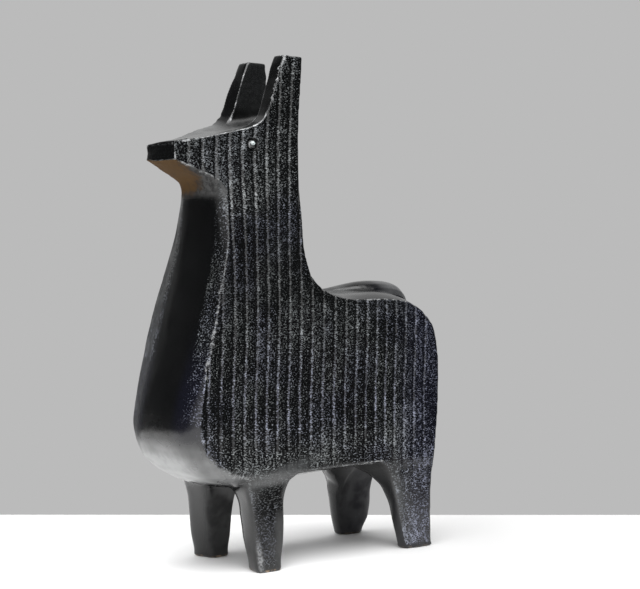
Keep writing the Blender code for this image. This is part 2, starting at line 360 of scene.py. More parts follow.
def splay_legs(places):
    """Lean the legs in towards the middle, and also back on the left and forward on the right."""
    side = np.sign(places[:, 0])
    left, right = splay_shares(places[:, 2])
    fore = np.where(side > 0, LEFT_FORE_SPLAY, RIGHT_FORE_SPLAY)
    hind = np.where(side > 0, LEFT_HIND_SPLAY, RIGHT_HIND_SPLAY)
    amount = fore + (hind - fore) * ease(places[:, 1], -10 * MM, 30 * MM)
    amount *= np.where(side > 0, left, right) * ease(np.abs(places[:, 0]), 2 * MM, 14 * MM)
    places[:, 0] -= side * amount
    places[:, 1] += side * amount * SPLAY_TWIST
    print(f"splayed the legs by up to {amount.max() / MM:.1f} mm")


places = places_of(llama.data)
splay_legs(places)

# %% [markdown]
# No two feet are alike. A foot is spread by moving one side of it outwards, most at the sole
# and less above, and not at all past the top of the leg.

# %% Spread the feet
FOOT_SPREADS = [
    # middle of the sole (x, y) in mm, way of the push (x, y), push at the sole and above in mm
    ("left fore foot, inner front", (24.5, -34.5), (-0.62, -0.78), 0.3, 0.6),
    ("left hind foot, inner front", (27.4, 71.5), (-0.62, -0.78), 1.6, 0.2),
    ("left hind foot, back", (27.4, 71.5), (0.30, 0.95), 1.0, 0.0),
    ("right hind foot, front", (-27.4, 71.5), (-0.35, -0.94), 4.2, 2.2),
]
FOOT_REACH = 17 * MM
FOOT_FADE = FOOT_REACH * 1.25


def spread_foot(places, middle, way, at_sole, above):
    """Push one side of a foot outwards."""
    offset = places[:, :2] - np.array(middle) * MM
    near = 1 - ease(np.hypot(offset[:, 0], offset[:, 1]), FOOT_REACH, FOOT_FADE)
    on_side = ease(offset @ np.array(way), -3 * MM, 5 * MM)
    height = places[:, 2]
    push = above + (at_sole - above) * (1 - ease(height, 4 * MM, 34 * MM))
    push = push * (1 - ease(height, LEG_TOP - 10 * MM, LEG_TOP)) * MM
    places[:, :2] += (near * on_side * push)[:, None] * np.array(way)


for name, middle, way, at_sole, above in FOOT_SPREADS:
    spread_foot(places, middle, way, at_sole, above)
    print(f"spread the {name} by {at_sole} mm at the sole")
move_to(llama.data, places)

# %% [markdown]
# ## Where the two sides differ
#
# The maker shaped each side by eye, so the far brow stands higher than the near one, the legs
# bulge by a millimetre here and there, and the tips of the ears differ. Each entry is one grab
# with a soft falloff: its middle, how far it reaches each way, and its push.

# %% Grab the places where the two sides differ
GRABS = [
    # middle (x, y, z), reach (x, y, z), push (x, y, z), all in mm
    ("right brow", (-24, -46, 243), (22, 38, 15), (-0.3, -0.8, 2.8)),
    ("top of the muzzle", (8, -86, 231), (28, 24, 8), (0.0, 0.0, 1.2)),
    ("right corner of the muzzle, above", (-18, -84, 231), (14, 12, 7), (-0.6, -0.5, 0.2)),
    ("right corner of the muzzle, below", (-18, -84, 221), (16, 12, 7), (-0.2, -0.2, 1.0)),
    ("right ear, front", (-24, -27, 255), (13, 14, 20), (-0.8, -1.0, 0.0)),
    ("right ear, back", (-12, -5, 264), (11, 11, 28), (0.6, 1.5, 0.0)),
    ("left ear, tip", (15, -24, 279), (15, 15, 12), (0.0, -0.8, 0.7)),
    ("left fore leg, front", (18.5, -41.0, 24), (12, 12, 20), (-0.90, -1.10, 0.0)),
    ("left fore leg, back", (29.5, -27.0, 21), (12, 12, 19), (0.70, 0.90, 0.0)),
    ("right fore leg, front", (-30, -41.5, 8), (13, 13, 44), (-0.95, -1.20, 0.0)),
    ("right fore foot, back", (-18.9, -27.5, 0), (12, 12, 13), (-0.60, -0.80, 0.0)),
    ("right hind leg, arch", (-24, 46, 42), (16, 12, 13), (0.0, -4.0, 0.0)),
    ("right hind leg, heel", (-25.5, 78.5, 15), (11, 11, 16), (0.5, 0.8, 0.0)),
    ("right hind foot, back", (-25.5, 79, 0), (11, 11, 11), (-0.5, -1.5, 0.0)),
    ("right hind foot, outer corner", (-32, 81, 0), (9, 9, 15), (1.3, -1.9, 0.0)),
]
GRAB_CORE = 0.25


def grab(places, middle, reach, push):
    """Push the points around a place, fully in its core and less towards its reach."""
    offset = (places - np.array(middle) * MM) / (np.array(reach) * MM)
    share = 1 - ease(np.linalg.norm(offset, axis=1), GRAB_CORE, 1.0)
    places += share[:, None] * np.array(push) * MM
    return int(np.count_nonzero(share))


places = places_of(llama.data)
for name, middle, reach, push in GRABS:
    print(f"grabbed the {name}: {grab(places, middle, reach, push)} points")
move_to(llama.data, places)

# %% [markdown]
# ## Fewer triangles
#
# The remesh left far more squares than the form needs. A Decimate modifier takes away points
# where the surface is nearly flat and keeps them where it turns, on the flutes and the arrises.
# The number leaves room under 200,000 for the finer patches at the eyes.

# %% Thin the mesh where it is nearly flat
MOST_TRIANGLES = 188_000
triangles = 2 * len(llama.data.polygons)
shape(llama, "DECIMATE", ratio=MOST_TRIANGLES / triangles, use_collapse_triangulate=True)
llama.vertex_groups.clear()
print("thinned to", len(llama.data.polygons), "triangles")

# %% [markdown]
# ## The eyes
#
# An eye is a bead of clay pressed into the cheek, full enough to catch a spark of light, with
# a shallow ring around it where it sank in. The skin of the figure is too coarse for a bead
# this small, so the faces around it are subdivided first, and then their points are set on
# the bead's own shape. Distances from the eye are shares of its radius.

# %% Give the cheeks a finer patch around each eye
EYE_AT = (-39.2 * MM, 230.7 * MM)
EYE_RADIUS = 2.4 * MM
CHEEK_FROM = 15 * MM
FINE_PATCH = 2.2
PATCH_CUTS = 2


def eye_share(places):
    """Distance from the middle of the eye as a share of its radius."""
    return np.hypot(places[:, 1] - EYE_AT[0], places[:, 2] - EYE_AT[1]) / EYE_RADIUS


share = eye_share(places_of(llama.data))
for vertex, value in zip(llama.data.vertices, share):
    vertex.select = value < FINE_PATCH and abs(vertex.co.x) > CHEEK_FROM
only(llama)
bpy.ops.object.mode_set(mode="EDIT")
bpy.ops.mesh.select_mode(type="VERT")
bpy.ops.mesh.subdivide(number_cuts=PATCH_CUTS)
bpy.ops.mesh.select_all(action="DESELECT")
bpy.ops.object.mode_set(mode="OBJECT")
print("with the finer patches:", len(llama.data.polygons), "faces")

# %% Press the eyes into the cheeks
EYE_RELIEF = 1.9 * MM
RING_DEPTH = 0.35 * MM
RING_END = 1.5
FLAT_FROM = 1.25
FLAT_TO = 1.7


def cheek_flat(places, ring):
    """Where the flat of the cheek would be at every point, from the points in a ring."""
    cheek = np.abs(places[ring, 0])
    columns = np.column_stack([places[ring, 1], places[ring, 2], np.ones(ring.sum())])
    lie = np.linalg.lstsq(columns, cheek, rcond=None)[0]
    return places[:, 1] * lie[0] + places[:, 2] * lie[1] + lie[2]


def press_eye(places, share, side):
    """Set the points of one eye on a bead with a shallow ring around it."""
    on_side = places[:, 0] * side > CHEEK_FROM
    flat = cheek_flat(places, on_side & (share > FLAT_FROM) & (share < FLAT_TO))
    bead = on_side & (share < 1.0)
    round_out = np.sqrt(np.maximum(0.0, 1.0 - share[bead] ** 2))
    places[bead, 0] = side * (flat[bead] - RING_DEPTH + (EYE_RELIEF + RING_DEPTH) * round_out)
    ring = on_side & (share >= 1.0) & (share < RING_END)
    depth = RING_DEPTH * (1 - ease(share[ring], 1.0, RING_END))
    places[ring, 0] = side * (flat[ring] - depth)
    print("eye", side, "points:", int(bead.sum()))


places = places_of(llama.data)
for side in (-1, 1):
    press_eye(places, eye_share(places), side)
move_to(llama.data, places)
only(llama)
bpy.ops.object.shade_smooth()

# %% [markdown]
# ## Maps of the glaze
#
# The glaze isn't the same all over. It is speckled on the flutes, the outer sides of the legs
# and the cheeks of the chest, and plain black on the breast, the muzzle and the insides. These
# maps are stored on the mesh as attributes, one number for each vertex, because they follow
# the surface and not a straight plane in space. The material reads them by name. Each is a
# product of soft steps along the figure, across it, up it and with the way a point faces.

# %% Keep a map on the mesh
places = places_of(llama.data)
normals = normals_of(llama.data)
facing = outward(places, normals)
x_left = places[:, 0]
x_out = np.abs(x_left)
y_along = places[:, 1]
forward = -y_along
z_up = places[:, 2]


def keep_map(name, values):
    """Store one number for each vertex."""
    layer = llama.data.attributes.new(name, "FLOAT", "POINT")
    layer.data.foreach_set("value", np.asarray(values, np.float32))
    print(f"map {name}: mean {np.mean(values):.3f}")


def oval(along, up, reach_along, reach_up):
    """Distance from a place in the side view, as a share of an oval's reach."""
    return np.hypot((y_along - along) / reach_along, (z_up - up) / reach_up)


# %% [markdown]
# Molten glaze draws back from a sharp edge, so the arrises show as pale lines: most on the
# brow and in the ears, less on the jaw, the rump and behind the belly, and hardly at all
# elsewhere. The left ear and the left edge of the breast are chipped as well. The rounding has
# drawn the jaw's edge in from the solid's arris by nearly half a millimetre.

# %% How far each point is from an arris
ROUNDED_BY = 0.4 * MM
FARTHEST_MM = 10.0
rounded_jaw = between(z_up, 196 * MM, 220 * MM, 3 * MM) * ease(forward, 50 * MM, 56 * MM)
from_arris = arris_distance(places) - ROUNDED_BY * rounded_jaw
keep_map("arris_mm", np.clip(from_arris / MM, 0.0, FARTHEST_MM))

# %% How worn each arris is, and where it is chipped
LEAST_WEAR = 0.10
head_side = ease(x_out, 11 * MM, 14 * MM)
brow = between(z_up, 220 * MM, 290 * MM, 3 * MM) * ease(forward, 12 * MM, 18 * MM) * head_side
inner_ear = between(z_up, 244 * MM, 276 * MM, 3 * MM) * between(x_out, 9 * MM, 15 * MM, 1 * MM)
inner_ear *= ease(forward, 14 * MM, 18 * MM)
jaw = between(z_up, 190 * MM, 226 * MM, 3 * MM) * ease(forward, 40 * MM, 46 * MM)
jaw *= 1 - 0.6 * ease(forward, 78 * MM, 82 * MM) * (1 - ease(x_out, 16 * MM, 19 * MM))
belly = between(z_up, 44 * MM, 62 * MM, 3 * MM) * between(y_along, -20 * MM, 60 * MM, 8 * MM)
rear_arch = belly * ease(y_along, 22 * MM, 32 * MM)
rump_edge = between(z_up, 125 * MM, 165 * MM, 6 * MM) * ease(y_along, 20 * MM, 40 * MM)
ear_edge = between(z_up, 246 * MM, 290 * MM, 4 * MM) * ease(forward, 14 * MM, 18 * MM)
ear_edge *= ease(x_left, 16 * MM, 18 * MM)
keep_map("worn", np.maximum.reduce([
    brow * (1 - 0.6 * ear_edge), inner_ear, jaw * 0.65, belly * 0.3, rear_arch * 0.8,
    rump_edge * 0.55, np.full(len(places), LEAST_WEAR)]))
breast_line = between(z_up, 76 * MM, 150 * MM, 5 * MM) * ease(forward, 48 * MM, 58 * MM)
breast_line *= ease(x_left, 24 * MM, 28 * MM)
keep_map("chipped", np.maximum(0.75 * ear_edge * ease(z_up, 250 * MM, 262 * MM), 0.38 * breast_line))

# %% [markdown]
# The flanks are speckled, down to the outer sides of the legs. Above them runs the ridge of the
# back, which is plain. The breast is plain along its middle, and its cheeks are speckled: the
# right one further in than the left one, and the left one further in low on the chest. To find
# a cheek, a point's distance from the middle is taken as a share of the half width there.

# %% The flanks, and the ridge of the back
leg_soft = 1 - ease(z_up, 34 * MM, 50 * MM)
flank = ease(facing, 0.45 - 0.10 * leg_soft, 0.72 + 0.22 * leg_soft)
ridge = ease(z_up, 141 * MM, 146 * MM) * ease(y_along, 12 * MM, 24 * MM)
ridge *= 1 - ease(x_out, 19 * MM, 24 * MM)
flank *= 1 - ridge
print(f"flanks: {flank.mean():.3f} of the points, ridge: {ridge.mean():.3f}")

# %% The breast and its cheeks
LEVELS = np.arange(0.0, 0.285, 0.005)
LEVEL_REACH = 12 * MM
BREAST_TOP = 200 * MM
BREAST_BOTTOM = 66 * MM
LEFT_CHEEK_FROM = 0.56
RIGHT_CHEEK_FROM = 0.40


def half_widths(levels):
    """Half the figure's width at each level, measured on the solid."""
    corners = places_of(solid.data)
    return np.array([np.abs(corners[np.abs(corners[:, 2] - level) < LEVEL_REACH, 0]).max()
                     for level in levels])


width_share = x_out / np.interp(z_up, LEVELS, half_widths(LEVELS))
breast = ease(-normals[:, 1], 0.2, 0.5) * ease(z_up, BREAST_BOTTOM, BREAST_BOTTOM + 14 * MM)
breast *= 1 - ease(z_up, BREAST_TOP - 3 * MM, BREAST_TOP + 6 * MM)
right_side = ease(-x_left, 0.0, 5 * MM)
low_chest = 1 - ease(z_up, 95 * MM, 140 * MM)
cheek_from = LEFT_CHEEK_FROM + right_side * (RIGHT_CHEEK_FROM - LEFT_CHEEK_FROM)
cheek_from = cheek_from - 0.16 * low_chest * (1 - right_side) - 0.03
chest_cheek = breast * ease(width_share, cheek_from, cheek_from + (0.15 + 0.30 * low_chest))
chest_cheek *= ease(z_up, 74 * MM, 86 * MM)
print(f"breast: {breast.mean():.3f} of the points, its cheeks: {chest_cheek.mean():.3f}")

# %% Where the glaze is speckled
throat = between(z_up, 192 * MM, 216 * MM, 4 * MM) * ease(-normals[:, 2], 0.0, 0.3)
throat *= ease(y_along, -72 * MM, -52 * MM) * ease(width_share, 0.1, 0.6)
rump = ease(normals[:, 1], 0.3, 0.6) * ease(z_up, 50 * MM, 70 * MM)
rump *= 1 - ease(z_up, 140 * MM, 160 * MM)
rump_top = ease(y_along, 60 * MM, 72 * MM) * ease(normals[:, 2], 0.0, 0.3)
specks = np.maximum.reduce([flank, chest_cheek * 0.9, rump, rump_top * 0.6, throat * 0.7])
chest_corner = between(z_up, 56 * MM, 80 * MM, 5 * MM) * ease(forward, 56 * MM, 64 * MM)
chest_corner *= 1 - ease(facing, 0.80, 0.97)
specks *= 1 - 0.55 * chest_corner
fore = 1 - ease(y_along, -8 * MM, 4 * MM)
on_leg = 1 - ease(z_up, 30 * MM, 50 * MM)
heel = fore * ease(y_along, -34 * MM, -29 * MM) * (1 - ease(z_up, 24 * MM, 38 * MM))
bare_leg = fore * 0.12 + heel * 0.50
specks *= (1 - on_leg * bare_leg) * ease(z_up, 1 * MM, 3 * MM)
keep_map("specks", specks * ease(eye_share(places), 1.25, 1.6))

# %% [markdown]
# The eyes are glassy and free of specks. Each has one small pale spot, up and to the front,
# which is a painted glint of the light on the top of the bead.

# %% Where the eyes and their painted glints are
keep_map("eye", 1 - ease(eye_share(places), 0.9, 1.15))
# painted glint: a pale spot up and to the front of each eye bead
glint = np.hypot(y_along - EYE_AT[0] + 0.7 * MM, z_up - EYE_AT[1] - 0.7 * MM)
keep_map("eye_glint", (1 - ease(glint, 0.6 * MM, 1.5 * MM)) * ease(facing, 0.1, 0.4))

# %% [markdown]
# In some places the glaze lies as a plain grey veil: on the right cheek of the breast and
# inside the ears. The same grey is painted as a reflection of the white table in a streak above
# the left fore leg that rises to the back, and down the front of the hind legs.

# %% Where the glaze lies as a plain grey veil, and where a reflection is painted
# painted reflection: grey streaks on the flank's lower edge stand in for the table mirrored there
reflection_rise = 52 * MM + 0.3 * (y_along + 29 * MM)
fore_reflection = 1 - ease(oval(-28 * MM, reflection_rise, 24 * MM, 5 * MM), 0.4, 1.3)
hind_reflection = 1 - ease(oval(56 * MM, 26 * MM, 6 * MM, 24 * MM), 0.3, 1.2)
veil_and_reflection = np.maximum(fore_reflection, 0.7 * hind_reflection) * ease(facing, 0.2, 0.7)
far_strip = right_side * breast * ease(width_share, 0.36, 0.70)
ear_inside = ease(z_up, 250 * MM, 256 * MM) * (1 - ease(x_out, 12.5 * MM, 14.5 * MM))
ear_inside *= ease(-facing, 0.3, 0.8)
keep_map("veil_and_reflection", np.maximum.reduce([veil_and_reflection, 0.35 * far_strip, 0.28 * ear_inside]))

# %% [markdown]
# In others it came out dusty and pale: a little on the right ankle and the heels. The same pale
# colour is a painted reflection of the white table under the breast, and a painted sheen along
# the ridge of the back, but for one dark spot, and on top of the head.

# %% Where the glaze is dusty and pale, and where a sheen or reflection is painted
# painted reflection: the underside of the breast is painted pale where it mirrors the white table
under_breast_reflection = ease(-normals[:, 2], 0.14, 0.34) * between(z_up, 50 * MM, 80 * MM, 4 * MM)
under_breast_reflection *= 1 - 0.45 * ease(z_up, 62 * MM, 67 * MM)
under_breast_reflection *= ease(forward, 46 * MM, 60 * MM) * (1 - 0.5 * ease(x_left, 10 * MM, 26 * MM))
dark_spot = oval(51 * MM, 152 * MM, 14 * MM, 5.5 * MM)
# painted sheen: the upturned ridge of the back is painted pale, but for one dark spot
ridge_sheen = ridge * ease(normals[:, 2], -0.1, 0.3) * ease(dark_spot, 0.4, 1.3)
ankle = between(z_up, 45 * MM, 52 * MM, 6 * MM) * ease(-x_left, 17 * MM, 21 * MM)
ankle *= ease(forward, 36 * MM, 42 * MM)
# painted sheen: the top of the head is painted pale where it faces up
head_top_sheen = ease(normals[:, 2], 0.5, 0.8) * ease(z_up, 226 * MM, 232 * MM)
head_top_sheen *= between(forward, 44 * MM, 72 * MM, 11 * MM) * (1 - 0.6 * ease(x_left, 0, 16 * MM))
keep_map("dust_and_sheen", np.maximum.reduce([
    under_breast_reflection, 0.24 * ridge_sheen, 0.23 * ankle, 0.34 * head_top_sheen,
    0.11 * heel * ease(facing, 0.3, 0.8)]))

# %% [markdown]
# Dust is pale, but dull glaze keeps its colour and only loses its shine: on the heels, the
# insides of the legs, the channel between the ears, and the edges of the breast.

# %% Where the glaze is dull
channel = between(z_up, 238 * MM, 256 * MM, 2 * MM) * (1 - ease(x_out, 11 * MM, 14 * MM))
channel *= ease(y_along, -52 * MM, -42 * MM)
breast_edge = between(z_up, 70 * MM, 84 * MM, 10 * MM) * ease(forward, 50 * MM, 60 * MM)
breast_edge *= 1 - ease(facing, 0.6, 0.9)
inner_leg = on_leg * ease(-facing, 0.3, 0.7)
far_corner = right_side * ease(width_share, 0.55, 0.80) * between(z_up, 78 * MM, 196 * MM, 6 * MM)
far_corner *= ease(forward, 36 * MM, 46 * MM)
keep_map("dull", np.maximum.reduce([
    0.6 * heel * ease(facing, 0.5, 0.9), 0.4 * channel, 0.15 * breast_edge, 0.8 * inner_leg,
    0.8 * far_corner]))

# %% [markdown]
# Three smaller maps follow. The black has a blue cast on the rump and low on the chest. Hands
# have rubbed the front corner of the left fore foot. And on the side of a flute that faces
# forward the glaze ran thinner than on the side that faces back: that map is positive on the
# one and negative on the other. It also paints light on the lit forward side and paints shade on
# the side turned back.

# %% Where the black has a blue cast
blue_rump = ease(y_along, 45 * MM, 75 * MM) * (1 - ease(z_up, 150 * MM, 165 * MM))
blue_chest = breast * low_chest * ease(width_share, 0.35, 0.6)
keep_map("blue", np.maximum(blue_rump, blue_chest))

# %% Where hands have rubbed the front corner of the left fore foot
corner_y = -40.5 * MM - 0.14 * z_up
corner = np.hypot(x_left - 30 * MM, y_along - corner_y)
keep_map("rubbed", (1 - ease(corner, 0.6 * MM, 2.4 * MM)) * (1 - ease(z_up, 4 * MM, 22 * MM)))

# %% Where a flute turns to the front or to the back, which also paints light and shade
# thin glaze, and also painted light on the forward walls and painted shade on the back walls
turned = -normals[:, 1] * flank * (1 - chest_corner) * (1 + on_leg * (1 - fore))
turned *= (1 - ease(np.abs(normals[:, 2]), 0.25, 0.5)) * (1 - 0.9 * on_leg * fore)
keep_map("flute_glaze_and_light", np.clip(turned * 2.0, -1.0, 1.0))

# %% [markdown]
# Under the jaw the glaze was wiped thin, and on its right part the brown clay shows through.
# The boundary between the two slants upwards to the left.

# %% Where the bare clay shows through
turned_down = ease(-normals[:, 2], 0.1, 0.45)
collar = between(z_up, 207 * MM, 212 * MM, 7 * MM) * ease(-normals[:, 1], 0.2, 0.5)
under_jaw = np.maximum(turned_down * ease(z_up, 198 * MM, 206 * MM), collar)
under_jaw *= 1 - ease(y_along, -62 * MM, -50 * MM)
clay_edge = -6 * MM + 0.75 * (z_up - 200 * MM)
clay = under_jaw * (1 - ease(x_left - clay_edge, -4 * MM, 14 * MM))
keep_map("bare_clay", clay * (0.62 + 0.38 * ease(z_up, 203 * MM, 211 * MM)))
keep_map("thin_jaw", under_jaw)

# %% [markdown]
# ## The glaze
#
# A procedural material is a small machine of nodes. The helpers below add a node, set it and
# join it in one line, so that the recipe of the glaze can be read from top to bottom. All
# patterns read Object coordinates, in metres, so a scale of 700 means a pattern of about 1.4 mm.

# %% Helpers that build a node tree
class Recipe:
    """Adds nodes to one tree and joins them."""

    def __init__(self, tree):
        self.tree = tree

    def add(self, kind, inputs=(), **settings):
        """Add a node, set it and fill its inputs."""
        node = self.tree.nodes.new(kind)
        for name, value in settings.items():
            setattr(node, name, value)
        for key, value in dict(inputs).items():
            self.put(node.inputs[key], value)
        return node

    def put(self, socket, value):
        """Join an output to the socket, or set the socket to a number or a colour."""
        if isinstance(value, bpy.types.NodeSocket):
            self.tree.links.new(value, socket)
        else:
            socket.default_value = value

    def math(self, operation, first, second, clamp=False):
        """One number worked out from two, and held between 0 and 1 if clamp is set."""
        return self.add("ShaderNodeMath", {0: first, 1: second},
                        operation=operation, use_clamp=clamp).outputs[0]

    def times(self, first, second, clamp=False):
        return self.math("MULTIPLY", first, second, clamp)

    def plus(self, first, second):
        return self.math("ADD", first, second)

    def minus(self, first, second):
        return self.math("SUBTRACT", first, second)

    def larger(self, first, second):
        return self.math("MAXIMUM", first, second)

    def step(self, value, low, high, start=0.0, end=1.0):
        """Smooth change from start to end as the value goes from low to high."""
        return self.add("ShaderNodeMapRange", {0: value, 1: low, 2: high, 3: start, 4: end},
                        interpolation_type="SMOOTHSTEP").outputs[0]

    def blend(self, share, first, second):
        """A blend of two numbers."""
        return self.add("ShaderNodeMix", {0: share, 2: first, 3: second},
                        data_type="FLOAT").outputs[0]

    def mix(self, share, first, second):
        """A blend of two colours."""
        return self.add("ShaderNodeMix", {0: share, 6: first, 7: second},
                        data_type="RGBA").outputs[2]

    def noise(self, where, scale, detail=2.0, rough=0.5, twist=0.0):
        return self.add("ShaderNodeTexNoise", {
            "Vector": where, "Scale": scale, "Detail": detail, "Roughness": rough,
            "Distortion": twist}).outputs[0]

    def attribute(self, name):
        """A map that is kept on the mesh."""
        return self.add("ShaderNodeAttribute", attribute_name=name).outputs["Fac"]


# %% Start the glaze
glaze = bpy.data.materials.new("black_glaze")
glaze.use_nodes = True
recipe = Recipe(glaze.node_tree)
shader = glaze.node_tree.nodes["Principled BSDF"]
where = recipe.add("ShaderNodeTexCoord").outputs["Object"]
axes = recipe.add("ShaderNodeSeparateXYZ", {0: where})
along = axes.outputs["Y"]
up = axes.outputs["Z"]


def patches(scale, low, high, start=0.0, end=1.0, detail=2.0, rough=0.5):
    """A noise over the whole piece, changed softly from start to end."""
    return recipe.step(recipe.noise(where, scale, detail, rough), low, high, start, end)


def tell(part):
    """Print how large the recipe has become."""
    print(f"{part}: {len(glaze.node_tree.nodes)} nodes so far")


tell("glaze begun")

# %% [markdown]
# ## Fine specks
#
# The specks are where a noise rises above a cut. They are wider than they are tall, so the
# noise is squeezed upwards, and they are coarser low on the figure. The cut is low where the
# map says speckled and high where it says plain. It is lower on the forward side of a flute,
# in stretches that come and go, and higher on its other side: this is partly thin glaze, and
# partly painted light on the lit side and painted shade on the side turned away.

# %% Draw the grain
FINE_SPECKS = 960
COARSE_SPECKS = 800
SPECK_FLATNESS = 1.7
squeezed = recipe.add("ShaderNodeMapping", {"Vector": where, "Scale": (1.0, 1.0, SPECK_FLATNESS)})
fine, coarse = [recipe.noise(squeezed.outputs[0], scale, detail=1.5, rough=0.6, twist=0.3)
                for scale in (FINE_SPECKS, COARSE_SPECKS)]
low_down = recipe.step(up, 110 * MM, 60 * MM)
grain = recipe.blend(low_down, fine, coarse)
tell("grain")

# %% Cut the grain to specks
PLAIN_CUT = 0.80
SPECKLED_CUT = 0.540
SPECK_EDGE = (-0.01, 0.07)
flute = recipe.attribute("flute_glaze_and_light")
# painted light on the forward wall of each flute and painted shade on its back wall, besides the thin
# glaze
lit_front_wall = recipe.times(recipe.larger(flute, 0.0), patches(55, 0.35, 0.62, 0.40, 1.10))
shaded_back_wall = recipe.larger(recipe.times(flute, -1.0), 0.0)
cut = recipe.step(recipe.attribute("specks"), 0.0, 1.0, PLAIN_CUT, SPECKLED_CUT)
cut = recipe.plus(cut, patches(42, 0.3, 0.7, 0.04, -0.03))
cut = recipe.minus(cut, recipe.times(lit_front_wall, 0.06))
cut = recipe.plus(cut, recipe.times(shaded_back_wall, 0.15))
cut = recipe.minus(cut, recipe.times(low_down, 0.022))
speck = recipe.step(recipe.minus(grain, cut), *SPECK_EDGE)
tell("specks")

# %% [markdown]
# Specks are grey, and bluish in patches. Some are paler than others: most of all in beads on
# the forward sides of the flutes, which are partly painted light on the lit side, and more low
# on the figure. On the neck and on the fore legs they are fainter.

# %% Colour the specks
GREY_SPECK = (0.126, 0.135, 0.137, 1)
BLUE_SPECK = (0.112, 0.120, 0.160, 1)
BEAD_LIFT = 0.95
NECK_SHARE = 0.58
LOW_SHARE = 1.2
FORE_LEG_SHARE = 0.42
blue = recipe.attribute("blue")
blue_patch = patches(30, 0.42, 0.68, 0.0, 0.7, detail=1.0)
blue_patch = recipe.times(blue_patch, recipe.step(up, 190 * MM, 215 * MM, 1.0, 0.3))
tint = recipe.mix(recipe.larger(blue_patch, blue), GREY_SPECK, BLUE_SPECK)
beads = recipe.times(patches(260, 0.45, 0.68, detail=1.0), BEAD_LIFT)
strength = patches(340, 0.3, 0.75, 0.30, 1.35, detail=1.0)
strength = recipe.plus(strength, recipe.times(lit_front_wall, beads))
neck = recipe.times(recipe.step(up, 132 * MM, 150 * MM), recipe.step(up, 205 * MM, 180 * MM))
fore_side = recipe.step(along, 10 * MM, -5 * MM)
fore_leg = recipe.times(recipe.step(up, 56 * MM, 38 * MM), fore_side)
for place, factor in ((neck, NECK_SHARE), (low_down, LOW_SHARE), (fore_leg, FORE_LEG_SHARE)):
    strength = recipe.times(strength, recipe.step(place, 0.0, 1.0, 1.0, factor))
bright = recipe.add("ShaderNodeVectorMath", {0: tint, "Scale": strength}, operation="SCALE")
tell("colour of the specks")

# %% [markdown]
# ## The black ground, the veil and the dust, with painted reflection and sheen
#
# Between the specks the glaze is nearly black, with a blue cast in places. The veil is a mist
# over it that leaves few specks to be seen; in places it is a painted reflection. The dust lies
# on top of both; in places it is a painted sheen or reflection.

# %% Lay the ground, the veil and the dust, with the painted reflection and sheen
DEEP_BLACK = (0.0024, 0.0026, 0.0028, 1)
BLUE_BLACK = (0.0038, 0.0040, 0.0075, 1)
GREY_VEIL_AND_REFLECTION = (0.045, 0.047, 0.048, 1)
DUST_AND_SHEEN = (0.255, 0.259, 0.259, 1)
veil_and_reflection_share = recipe.attribute("veil_and_reflection")
dust_and_sheen = recipe.attribute("dust_and_sheen")
ground = recipe.mix(blue, DEEP_BLACK, BLUE_BLACK)
mist = patches(520, 0.30, 0.70, 0.55, 1.25, detail=3.0, rough=0.7)
# the grey of the veil is also a painted reflection of the table on the flank's lower edge
ground = recipe.mix(recipe.times(veil_and_reflection_share, mist, clamp=True), ground, GREY_VEIL_AND_REFLECTION)
speck_share = recipe.times(speck, recipe.step(veil_and_reflection_share, 0.0, 1.0, 1.0, 0.3))
colour = recipe.mix(speck_share, ground, bright.outputs[0])
settled = patches(190, 0.30, 0.70, 0.80, 1.12, detail=3.0)
# the pale colour is also painted sheen on the head and back, and painted reflection under the breast
colour = recipe.mix(recipe.times(dust_and_sheen, settled, clamp=True), colour, DUST_AND_SHEEN)
tell("ground, veil and dust")

# %% [markdown]
# ## Worn places
#
# Along an arris runs a thin pale line, broken where the glaze held. The chips are wider spots
# beside it, and the rubbed corner of the foot is dotted.

# %% Wear the arrises
WORN = (0.50, 0.51, 0.52, 1)
WEAR_SHARE = 0.95
LINE_MM = (0.80, 0.25)
CHIP_MM = (1.8, 0.8)
arris = recipe.attribute("arris_mm")
spots = patches(330, 0.40, 0.62)
line = recipe.times(recipe.times(recipe.step(arris, *LINE_MM), spots), recipe.attribute("worn"))
line = recipe.times(line, patches(95, 0.36, 0.58, 0.35, 1.0))
chips = recipe.times(recipe.step(arris, *CHIP_MM), recipe.attribute("chipped"))
chips = recipe.times(chips, patches(500, 0.52, 0.60))
rubbed = recipe.times(recipe.attribute("rubbed"), patches(600, 0.40, 0.62, 0.10, 0.45))
wear = recipe.larger(recipe.larger(line, chips), rubbed)
colour = recipe.mix(recipe.times(wear, WEAR_SHARE), colour, WORN)
tell("worn places")

# %% [markdown]
# ## Bare clay
#
# Under the jaw the thin glaze is a mottled grey, and the bare clay beside it has a frayed
# boundary. The soles were wiped before firing, so a little clay shows on the rims of the feet,
# most on the fore feet. The painted glints on the eyes come last.

# %% Bare the clay
THIN_JAW = (0.058, 0.058, 0.058, 1)
BARE_CLAY = (0.066, 0.030, 0.002, 1)
FOOT_CLAY = (0.24, 0.17, 0.11, 1)
EYE_GLINT = (0.50, 0.56, 0.56, 1)
HIND_FOOT_SHARE = 0.25
bare = recipe.attribute("bare_clay")
thin_jaw = recipe.attribute("thin_jaw")
mottle = patches(420, 0.35, 0.65, 0.20, 1.25, detail=3.0, rough=0.7)
thin = recipe.times(recipe.times(thin_jaw, mottle, clamp=True), recipe.step(bare, 0.0, 0.7, 1.0, 0.2))
colour = recipe.mix(thin, colour, THIN_JAW)
fray = patches(260, 0.3, 0.7, -0.30, 0.30, detail=3.0, rough=0.7)
clay = recipe.times(recipe.step(recipe.plus(bare, fray), 0.05, 1.0), recipe.step(bare, 0.0, 0.3))
colour = recipe.mix(clay, colour, BARE_CLAY)
rim = recipe.times(recipe.step(up, 1.7 * MM, 0.8 * MM), spots)
rim = recipe.times(rim, recipe.step(along, 10 * MM, -5 * MM, HIND_FOOT_SHARE, 1.0))
colour = recipe.mix(rim, colour, FOOT_CLAY)
